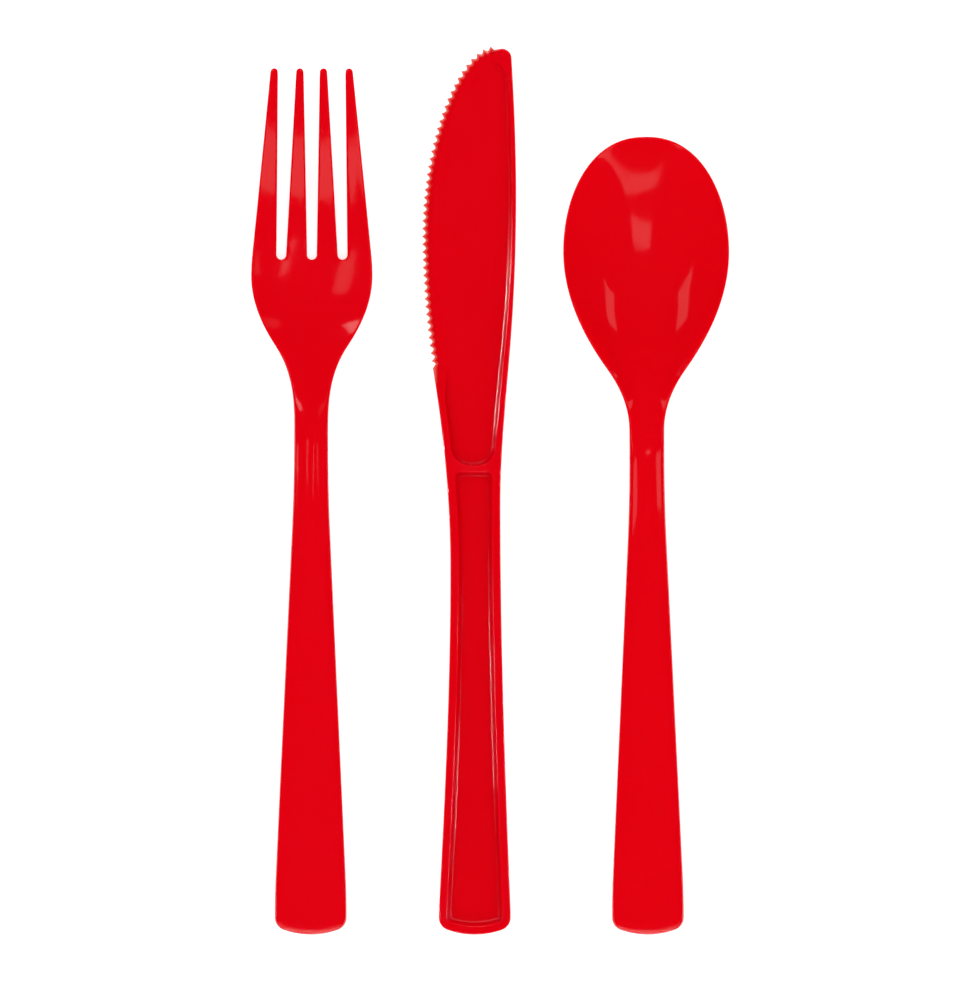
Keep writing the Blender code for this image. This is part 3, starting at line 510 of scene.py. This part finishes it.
def spoon_surface():
    """The spoon: its bowl's end is x = (width / 2) cos(a)^bluntness, y = widest + reach sin(a)."""
    half_bowl = SPOON_BOWL_WIDTH / 2
    half_width = taper(SPOON_NECK, SPOON_NECK_WIDTH) + [
        (SPOON_THROAT, SPOON_NECK_WIDTH / 2, 0.0),
        (SPOON_SHOULDER, SPOON_SHOULDER_WIDTH / 2, SPOON_SHOULDER_SPREAD),
        (SPOON_WIDEST, half_bowl, 0.0),
    ]
    a = np.linspace(0, math.pi / 2, BOWL_POINTS)[1:-1]
    nose_y = SPOON_WIDEST + (SPOON_LENGTH - SPOON_WIDEST) * np.sin(a)
    nose = np.stack([half_bowl * np.cos(a) ** SPOON_BLUNTNESS, nose_y], axis=1)
    right = [handle_end(), side(half_width, SPOON_WIDEST, SPOON_NECK), nose, [(0.0, SPOON_LENGTH)]]
    rim_slope = (SPOON_TIP_HEIGHT - SPOON_RIM_HEIGHT) / (SPOON_LENGTH - SPOON_HEEL)
    keel = [
        (0.0, HANDLE_DEPTH + HANDLE_CROWN, HANDLE_RISE),
        (SPOON_NECK, SPOON_NECK_HEIGHT, 0.0),
        (SPOON_HEEL, SPOON_WALL, 0.0),
        (SPOON_LENGTH, SPOON_TIP_HEIGHT, SPOON_TIP_PITCH),
    ]
    rails = [
        (0.0, HANDLE_DEPTH, HANDLE_RISE),
        (SPOON_NECK, SPOON_NECK_HEIGHT - NECK_CROWN, 0.0),
        (SPOON_HEEL, SPOON_RIM_HEIGHT, rim_slope),
        (SPOON_LENGTH, SPOON_TIP_HEIGHT, rim_slope),
    ]
    wall = [(SPOON_NECK, SPOON_WALL, 0.0), (SPOON_LENGTH, SPOON_WALL, 0.0)]
    edge = [
        (0.0, HANDLE_END_EDGE, 0.0),
        (HANDLE_EDGE_FROM, HANDLE_EDGE, 0.0),
        (SPOON_NECK, NECK_EDGE, 0.0),
        (SPOON_WIDEST, SPOON_EDGE, 0.0),
        (SPOON_LENGTH, SPOON_EDGE, 0.0),
    ]
    outline = mirrored(np.concatenate(right))
    return dished_piece(
        outline, half_width, keel, rails, SPOON_BOWL_POWER, wall, SPOON_NECK, SPOON_SHOULDER, edge
    )


spoon_plastic = moulded_plastic("polystyrene_spoon_polished_mould", "#E50010", "#E1000F")
spoon = spoon_surface().piece("spoon_moulding", SPOON_PLACE, SPOON_TURN, spoon_plastic)
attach(spoon, "root")
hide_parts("spoon")

# Knife
# Injection-moulded polystyrene: a thin web behind a spine rib, with a bevelled and serrated cutting
# edge. It lies on its flat back and shows the hollow side of its handle.
KNIFE_PLACE = (-3.26 * MM, -95.2 * MM)
KNIFE_LENGTH = 190.4 * MM
KNIFE_TAPER_HASTE = 1.6
KNIFE_END_BLEND = 3.0 * MM
KNIFE_SPINE_NECK = KNIFE_LENGTH - 98.4 * MM
KNIFE_SPINE_NECK_REACH = 5.5 * MM
KNIFE_EDGE_NECK = KNIFE_LENGTH - 112.4 * MM
KNIFE_EDGE_NECK_REACH = 5.22 * MM
KNIFE_SPINE = KNIFE_LENGTH - 32.0 * MM
KNIFE_SPINE_REACH = 8.89 * MM
KNIFE_SHOULDER = KNIFE_LENGTH - 67.0 * MM
KNIFE_SHOULDER_REACH = 7.43 * MM
KNIFE_SHOULDER_SPREAD = 0.085
KNIFE_NOSE_REACH = 7.9 * MM
KNIFE_NOSE_SLOPE = -0.06
KNIFE_NOSE_RADIUS = 2.1 * MM
KNIFE_NOSE_DROP = 0.6 * MM
KNIFE_NOSE_BAND = 6.3 * MM
KNIFE_FIRST_TOOTH_REACH = 4.2 * MM
KNIFE_NOSE_FULLNESS = 7.6 * MM
KNIFE_BELLY_FULLNESS = 20.0 * MM
KNIFE_BELLY = KNIFE_LENGTH - 39.9 * MM
KNIFE_BELLY_REACH = 11.35 * MM
KNIFE_HEEL = KNIFE_LENGTH - 68.4 * MM
KNIFE_HEEL_REACH = 9.12 * MM
KNIFE_HEEL_SPREAD = 0.17
KNIFE_HEEL_FADE = 8.0 * MM
KNIFE_RIB_DEPTH = 2.4 * MM
KNIFE_RIB_FADE_START = 2.4 * MM
KNIFE_RIB_FADE_END = 6.7 * MM
KNIFE_FLOOR = 1.4 * MM
KNIFE_WEB = 1.3 * MM
KNIFE_CUTTING_EDGE = 0.5 * MM
KNIFE_BEVEL = 2.3 * MM
KNIFE_EDGE = 0.4 * MM
KNIFE_FOOT = 0.12 * MM
KNIFE_SPINE_RIB = 0.9 * MM
KNIFE_SIDE_RIB = 1.5 * MM
KNIFE_POCKET_FOOT = KNIFE_LENGTH - 90.1 * MM
KNIFE_POCKET_ROUND = 4.6 * MM
KNIFE_POCKET_SQUARENESS = 2.3
KNIFE_POCKET_DRAFT = 0.6 * MM
KNIFE_POCKET_NOSE_GAP = 7.4 * MM
KNIFE_POCKET_NOSE_REACH = 3.2 * MM
KNIFE_CROSS_WALL = 1.2 * MM
KNIFE_HOLLOW_CORNER = 1.2 * MM
TOOTH_PITCH = 1.66 * MM
TOOTH_DEPTH = 0.82 * MM
TOOTH_ROUNDNESS = 1.5
TOOTH_POINTS = 12
TOOTH_GLOW = 1.1 * MM
EDGE_LINE_POINTS = 240


def cutting_edge():
    """Line through the tooth tips: a cubic from the nose to the belly, with its two inner points
    straight on from its ends, and then the smooth curve down to the heel."""
    t = np.linspace(1.0, 0.0, EDGE_LINE_POINTS)[:, None]
    nose = (
        (1 - t) ** 3 * [-KNIFE_BELLY_REACH, KNIFE_BELLY]
        + 3 * (1 - t) ** 2 * t * [-KNIFE_BELLY_REACH, KNIFE_BELLY + KNIFE_BELLY_FULLNESS]
        + 3 * (1 - t) * t**2 * [KNIFE_FIRST_TOOTH_REACH - KNIFE_NOSE_FULLNESS, KNIFE_LENGTH]
        + t**3 * [KNIFE_FIRST_TOOTH_REACH, KNIFE_LENGTH]
    )
    stations = [(KNIFE_HEEL, KNIFE_HEEL_REACH, KNIFE_HEEL_SPREAD), (KNIFE_BELLY, KNIFE_BELLY_REACH, 0.0)]
    places = np.linspace(KNIFE_BELLY, KNIFE_HEEL, EDGE_LINE_POINTS)[1:]
    return np.concatenate([nose, np.stack([-smooth(stations, places), places], axis=1)])


def along(line, distances):
    """Points at given distances along a line, and the line's inward normals there."""
    steps = np.linalg.norm(np.diff(line, axis=0), axis=1)
    run = np.concatenate([[0.0], np.cumsum(steps)])
    points = np.stack([np.interp(distances, run, line[:, k]) for k in (0, 1)], axis=1)
    turn = np.gradient(line, run, axis=0)
    heading = np.stack([np.interp(distances, run, turn[:, k]) for k in (0, 1)], axis=1)
    heading /= np.linalg.norm(heading, axis=1)[:, None]
    return points, np.stack([-heading[:, 1], heading[:, 0]], axis=1)


def teeth(line):
    """The same number of points on the line and on its teeth. With s the share of the way from one
    gullet to the next, a tooth's line lies depth (1 - (1 - |2s - 1|)^roundness) inside the tips."""
    length = np.linalg.norm(np.diff(line, axis=0), axis=1).sum()
    count = round(length / TOOTH_PITCH)
    share = np.arange(TOOTH_POINTS) / TOOTH_POINTS
    from_tip = np.tile(np.abs(2 * share - 1), count)
    depth = TOOTH_DEPTH * (1 - (1 - from_tip) ** TOOTH_ROUNDNESS)
    places = (np.arange(count)[:, None] + share).ravel() * length / count
    points, inwards = along(line, places)
    return points, points + inwards * depth[:, None]


def knife_sides():
    """Stations of the knife's reach from its axis: the spine's side, then the cutting edge's side."""
    end = handle_end()[-1, 1]
    half = HANDLE_END_WIDTH / 2
    sides = []
    spine_neck = (KNIFE_SPINE_NECK, KNIFE_SPINE_NECK_REACH)
    edge_neck = (KNIFE_EDGE_NECK, KNIFE_EDGE_NECK_REACH)
    for neck, reach in (spine_neck, edge_neck):
        slope = (reach - half) / (neck - end) * KNIFE_TAPER_HASTE
        bent = (end + KNIFE_END_BLEND, half + slope * KNIFE_END_BLEND / 2, slope)
        sides.append([(end, half, 0.0), bent, (neck, reach, 0.0)])
    spine, edge = sides
    nose = KNIFE_LENGTH - KNIFE_NOSE_DROP - KNIFE_NOSE_RADIUS
    spine += [
        (KNIFE_SHOULDER, KNIFE_SHOULDER_REACH, KNIFE_SHOULDER_SPREAD),
        (KNIFE_SPINE, KNIFE_SPINE_REACH, 0.0),
        (nose, KNIFE_NOSE_REACH, KNIFE_NOSE_SLOPE),
    ]
    edge += [(KNIFE_HEEL, KNIFE_HEEL_REACH, KNIFE_HEEL_SPREAD)]
    return spine, edge


def knife_outline(edge_line):
    """The knife's outline, anticlockwise from the middle of its handle end, with a given edge line."""
    spine, edge = knife_sides()
    nose = spine[-1][0]
    left = np.concatenate([handle_end()[1:], side(edge, edge[-1][0], edge[2][0])[:-1]])
    return np.concatenate([
        handle_end(),
        side(spine, nose, spine[2][0])[:-1],
        arc((KNIFE_NOSE_REACH - KNIFE_NOSE_RADIUS, nose), KNIFE_NOSE_RADIUS, 0, 90),
        edge_line,
        left[::-1] * [-1, 1],
    ])


def joining_curve(before, after, reach, count):
    """Points of a cubic that leaves one line's end and meets the next line's start smoothly."""
    start, end = before[-1], after[0]
    out, back = start - before[-2], end - after[1]
    a = start + out / np.linalg.norm(out) * reach
    b = end + back / np.linalg.norm(back) * reach
    t = np.linspace(0, 1, count + 2)[1:-1, None]
    return (1 - t) ** 3 * start + 3 * (1 - t) ** 2 * t * a + 3 * (1 - t) * t**2 * b + t**3 * end


def blade_pocket(plain, up):
    """Outline of the blade's sunk web: beside the spine rib, across the nose, along the bevel, and
    down beside the edge-side rim to a rounded end |cos a|^(2/squareness) before the handle."""
    x, y = plain.T
    spine_wall = smooth([(KNIFE_POCKET_FOOT, KNIFE_SIDE_RIB, 0.0), (KNIFE_BELLY, KNIFE_SPINE_RIB, 0.0)], y)
    edge_wall = KNIFE_SIDE_RIB * up + (KNIFE_BEVEL + KNIFE_POCKET_DRAFT) * (1 - up)
    inner = inset(plain, np.where(x > 0, spine_wall, edge_wall))
    above_foot = y > KNIFE_POCKET_FOOT + KNIFE_POCKET_ROUND
    spine_side = inner[(x > 0) & above_foot & (y < KNIFE_LENGTH - KNIFE_POCKET_NOSE_GAP)]
    edge_side = inner[(x < 0) & above_foot]
    across_nose = joining_curve(spine_side, edge_side, KNIFE_POCKET_NOSE_REACH, ROUND_POINTS)
    angle = np.linspace(math.pi, 2 * math.pi, 4 * ROUND_POINTS)[1:-1]
    depth = (edge_side[-1, 1] + spine_side[0, 1]) / 2 - KNIFE_POCKET_FOOT
    reach = np.where(np.cos(angle) < 0, -edge_side[-1, 0], spine_side[0, 0])
    rounded = 2 / KNIFE_POCKET_SQUARENESS
    foot_x = reach * np.sign(np.cos(angle)) * np.abs(np.cos(angle)) ** rounded
    foot_y = KNIFE_POCKET_FOOT + depth - depth * np.abs(np.sin(angle)) ** rounded
    return np.concatenate([spine_side, across_nose, edge_side, np.stack([foot_x, foot_y], axis=1)])


def knife_hollow(plain, in_by):
    """Outline of the knife handle's hollow, one distance in, with a square top before the blade."""
    draft = in_by - HANDLE_RIM
    top = KNIFE_POCKET_FOOT - KNIFE_CROSS_WALL - draft
    corner = KNIFE_HOLLOW_CORNER - draft
    end = handle_end(in_by)
    x, y = plain.T
    beside = (y > handle_end()[-1, 1] + CURVE_STEP) & (y < top - corner - CURVE_STEP / 2)
    inner = inset(plain, in_by)
    right, left = inner[beside & (x > 0)], inner[beside & (x < 0)]
    return np.concatenate([
        end,
        right,
        arc((right[-1, 0] - corner, top - corner), corner, 0, 90),
        arc((left[0, 0] + corner, top - corner), corner, 90, 180),
        left,
        end[:0:-1] * [-1, 1],
    ])


def knife_surface():
    """The knife: its top lies at full rim height where the rim stands up, at web height elsewhere."""

    def raised(plan):
        """1 where the rim stands at its full height, 0 along the cutting edge."""
        x, y = plan.T
        near_nose = y > KNIFE_LENGTH - KNIFE_NOSE_BAND
        right = np.where(near_nose, ramp(x, KNIFE_RIB_FADE_START, KNIFE_RIB_FADE_END), 1.0)
        return np.where(x < 0, 1 - ramp(y, KNIFE_HEEL - KNIFE_HEEL_FADE, KNIFE_HEEL), right)

    def rim_height(plan, lowest, drop=0.0):
        """lowest + (full rim height - drop - lowest) raised."""
        y = plan[:, 1]
        full = smooth([(KNIFE_POCKET_FOOT, HANDLE_DEPTH, 0.0), (KNIFE_LENGTH, KNIFE_RIB_DEPTH, 0.0)], y)
        return lowest + (full - drop - lowest) * raised(plan)

    body = Moulding()
    tips = cutting_edge()
    on_line, on_teeth = teeth(tips)
    line, outline = knife_outline(on_line), knife_outline(on_teeth)
    up = raised(line)
    brow = inset(line, KNIFE_EDGE * up + KNIFE_BEVEL * (1 - up))
    inwards = (brow - outline) / np.linalg.norm(brow - outline, axis=1)[:, None]
    rings = []
    # Along the cutting edge the foot rings carry the painted glow's mark at full strength.
    for a in np.linspace(math.pi / 2, 0, FOOT_STEPS + 1):
        plan = outline + inwards * KNIFE_FOOT * (1 - math.cos(a))
        rings.append(body.ring(plan, KNIFE_FOOT * (1 - math.sin(a)), 1 - up))
    low, high = rim_height(outline, KNIFE_CUTTING_EDGE, KNIFE_EDGE), rim_height(brow, KNIFE_WEB)
    for t in np.linspace(0, 1, EDGE_STEPS + 1):
        way_in = up * (1 - math.cos(t * math.pi / 2)) + (1 - up) * t
        way_up = up * math.sin(t * math.pi / 2) + (1 - up) * t
        plan = outline + (brow - outline) * way_in[:, None]
        # Painted glow on the teeth: a paler base colour from the tips, fading up the bevel, for light
        # through the thin plastic.
        glow = (1 - up) * (1 - ramp(t * KNIFE_BEVEL, 0.0, TOOTH_GLOW))
        rings.append(body.ring(plan, low + (high - low) * way_up, glow))
    body.bands(rings)
    loose = grid_inside(line, FACE_STEP, KNIFE_BEVEL)
    body.cap(rings[0], [], body.ring(loose, 0.0), False)

    reach = np.linalg.norm(np.diff(tips, axis=0), axis=1).sum()
    plain = knife_outline(along(tips, spread(0.0, reach, CURVE_STEP))[0][1:-1])
    plain_up = raised(plain)
    pocket = blade_pocket(plain, plain_up)
    depth = HANDLE_DEPTH - KNIFE_WEB
    pocket_walls, handle_walls = [], []
    for way_in, share in wall_profile(depth, KNIFE_POCKET_DRAFT, HOLLOW_BROW, HOLLOW_FILLET):
        plan = inset(pocket, way_in)
        top = rim_height(plan, KNIFE_WEB)
        pocket_walls.append(body.ring(plan, top + (KNIFE_WEB - top) * share))
    floor = grid_inside(plan, FACE_STEP, FACE_MARGIN)
    body.bands(pocket_walls)
    body.cap(pocket_walls[-1], [], body.ring(floor, KNIFE_WEB), True)
    depth = HANDLE_DEPTH - KNIFE_FLOOR
    for way_in, share in wall_profile(depth, HOLLOW_DRAFT, HOLLOW_BROW, HOLLOW_FILLET):
        plan = knife_hollow(plain, HANDLE_RIM + way_in)
        top = rim_height(plan, KNIFE_WEB)
        handle_walls.append(body.ring(plan, top + (KNIFE_FLOOR - top) * share))
    floor = grid_inside(plan, FACE_STEP, FACE_MARGIN)
    body.bands(handle_walls)
    body.cap(handle_walls[-1], [], body.ring(floor, KNIFE_FLOOR), True)
    loose = grid_inside(brow, FACE_STEP, FACE_MARGIN)
    for walls in (pocket_walls, handle_walls):
        mouth = np.concatenate(body.points)[walls[0], :2]
        loose = loose[clearance(mouth, loose) < -FACE_MARGIN]
    loose = body.ring(loose, rim_height(loose, KNIFE_WEB))
    body.cap(rings[-1], [pocket_walls[0], handle_walls[0]], loose, True)
    return body


knife_plastic = moulded_plastic("polystyrene_knife_polished_mould", "#E10011", "#DD0010")
knife = knife_surface().piece("knife_moulding", KNIFE_PLACE, 0.0, knife_plastic)
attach(knife, "root")
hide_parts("knife")

# Table
# A sheet of matt white board, lit so evenly that it comes out white, with only a soft shadow.
FLOOR_HALF = 3.0
FLOOR_DROP = 0.02 * MM
FLOOR_GLOW = 0.55
floor_mesh = bpy.data.meshes.new("floor")
corners = [(-1, -1), (1, -1), (1, 1), (-1, 1)]
corners = [(x * FLOOR_HALF, y * FLOOR_HALF, -FLOOR_DROP) for x, y in corners]
floor_mesh.from_pydata(corners, [], [(0, 1, 2, 3)])
floor = bpy.data.objects.new("floor", floor_mesh)
bpy.context.scene.collection.objects.link(floor)
# Pressed paper board without a coating: plain white, with no gloss to mirror the pieces. Its own
# glow shows only to the camera and in reflections, so it adds no light to the pieces.
board = bpy.data.materials.new("board_matt_white")
board.use_nodes = True
tree = board.node_tree
board_shader = tree.nodes["Principled BSDF"]
board_shader.inputs["Base Color"].default_value = linear("#F2F2F2")
board_shader.inputs["Roughness"].default_value = 0.9
board_shader.inputs["Emission Color"].default_value = (1.0, 1.0, 1.0, 1.0)
rays = tree.nodes.new("ShaderNodeLightPath").outputs
seen = rays["Is Camera Ray"]
for kind in ("Is Glossy Ray", "Is Transmission Ray"):
    seen = add(tree, "ShaderNodeMath", {0: seen, 1: rays[kind]}, operation="ADD").outputs["Value"]
glow = add(tree, "ShaderNodeMath", {0: seen, 1: FLOOR_GLOW}, operation="MULTIPLY")
tree.links.new(glow.outputs["Value"], board_shader.inputs["Emission Strength"])
floor_mesh.materials.append(board)

# Lights
# One even white sky and a diffuser overhead light the matt red, through crossed polarisers, so that
# they leave no glare. What the gloss mirrors are dim panels and small bright lamps, and each of them
# is linked to one piece, as if the pieces had been lit and taken one at a time. A lamp is its name,
# its place in metres, its size across the way to the table and along it, its turn about that way in
# degrees, and its brightness.
SKY_BRIGHTNESS = 0.8
DIFFUSER = ("diffuser", (0.0, 0.0, 1.5), 1.8, 1.8, 0, 0.9)
ALL_LAMPS = (
    ("strip_front", (0.0, -1.37, 0.60), 1.6, 0.08, 0, 12.0),
    ("strip_back", (0.0, 1.37, 0.60), 1.6, 0.08, 0, 12.0),
)
FORK_LAMPS = (
    ("fork_tines", (-0.038, -0.55, 1.354), 0.66, 0.20, 0, 0.6),
    ("fork_head_right", (-0.0895, 0.019, 0.3), 0.05, 0.022, 0, 0.5),
    ("fork_head_left", (-0.008, 0.004, 0.3), 0.04, 0.008, 0, 0.8),
    ("fork_side_left", (0.044, 0.009, 0.3), 0.03, 0.02, 0, 0.3),
    ("fork_heel_right", (-0.165, 0.258, 0.35), 0.05, 0.07, 0, 2.0),
    ("fork_heel_left", (0.058, 0.23, 0.35), 0.03, 0.05, 0, 0.2),
    ("fork_neck", (-0.858, 0.0, 1.26), 0.055, 0.055, 0, 1.6),
    ("fork_end", (-0.038, -0.185, 0.10), 0.22, 0.09, 0, 0.5),
    ("fork_end_glint", (-0.042, -0.185, 0.15), 0.012, 0.004, 0, 60.0),
)
SPOON_LAMPS = (
    ("spoon_tip", (0.112, -0.508, 1.354), 0.28, 0.085, 0, 0.6),
    ("spoon_bowl", (0.0406, 0.0221, 0.15), 0.018, 0.0113, 61, 0.7),
    ("spoon_right", (1.039, 0.543, 1.10), 0.80, 0.28, -45, 0.6),
    ("spoon_left", (-0.971, 0.50, 1.10), 0.86, 0.34, 45, 0.6),
    ("spoon_neck_left", (-0.007, -0.003, 0.085), 0.018, 0.018, 0, 0.6),
    ("spoon_neck_right", (0.0765, 0.004, 0.085), 0.022, 0.022, 0, 0.6),
    ("spoon_end", (0.034, -0.185, 0.10), 0.22, 0.09, 0, 0.5),
    ("spoon_end_glint", (0.040, -0.185, 0.15), 0.012, 0.004, 0, 60.0),
)
KNIFE_LAMPS = (
    ("knife_blade", (-1.434, 0.172, 0.438), 0.052, 0.052, 0, 350.0),
    ("knife_handle", (-1.434, -0.10, 0.438), 0.08, 0.052, 0, 120.0),
    ("knife_end", (1.434, -0.161, 0.438), 0.052, 0.052, 0, 150.0),
    ("knife_right", (1.434, -0.053, 0.438), 0.052, 0.052, 0, 40.0),
)


def area_lamp(name, place, across, along_way, turn, brightness):
    """An area lamp at a place, facing the middle of the table: its power is brightness pi area."""
    light = bpy.data.lights.new(name, "AREA")
    light.shape = "RECTANGLE"
    light.size, light.size_y = across, along_way
    light.energy = brightness * math.pi * across * along_way
    lamp = bpy.data.objects.new(name, light)
    lamp.location = place
    facing = Vector(place).to_track_quat("Z", "Y")
    lamp.rotation_euler = (facing @ Quaternion((0, 0, 1), math.radians(turn))).to_euler()
    lamp.visible_camera = False
    bpy.context.scene.collection.objects.link(lamp)
    return lamp


area_lamp(*DIFFUSER).visible_glossy = False
for values in ALL_LAMPS:
    area_lamp(*values).visible_diffuse = False
for item, lamps in ((fork, FORK_LAMPS), (spoon, SPOON_LAMPS), (knife, KNIFE_LAMPS)):
    lit = bpy.data.collections.new(item.name + "_lit")
    lit.objects.link(item)
    for values in lamps:
        lamp = area_lamp(*values)
        lamp.visible_diffuse = False
        lamp.light_linking.receiver_collection = lit

sky = bpy.data.worlds.new("studio")
bpy.context.scene.world = sky
sky.use_nodes = True
sky.node_tree.nodes["Background"].inputs["Color"].default_value = (1.0, 1.0, 1.0, 1.0)
sky.node_tree.nodes["Background"].inputs["Strength"].default_value = SKY_BRIGHTNESS
sky.cycles_visibility.glossy = False

# Camera
# It looks straight down from far enough away that the raised parts keep their place.
CAMERA_HEIGHT = 3.0
CAMERA_PLACE = (0.01 * MM, -0.09 * MM, CAMERA_HEIGHT)
VIEW_WIDTH = 0.2101
SENSOR_WIDTH = 36.0
camera_data = bpy.data.cameras.new("camera")
camera_data.sensor_fit = "HORIZONTAL"
camera_data.sensor_width = SENSOR_WIDTH
camera_data.lens = SENSOR_WIDTH * CAMERA_HEIGHT / VIEW_WIDTH
camera_data.clip_end = 10.0
camera = bpy.data.objects.new("camera", camera_data)
camera.location = CAMERA_PLACE
bpy.context.scene.collection.objects.link(camera)
bpy.context.scene.camera = camera
bpy.context.scene.view_settings.view_transform = "Standard"
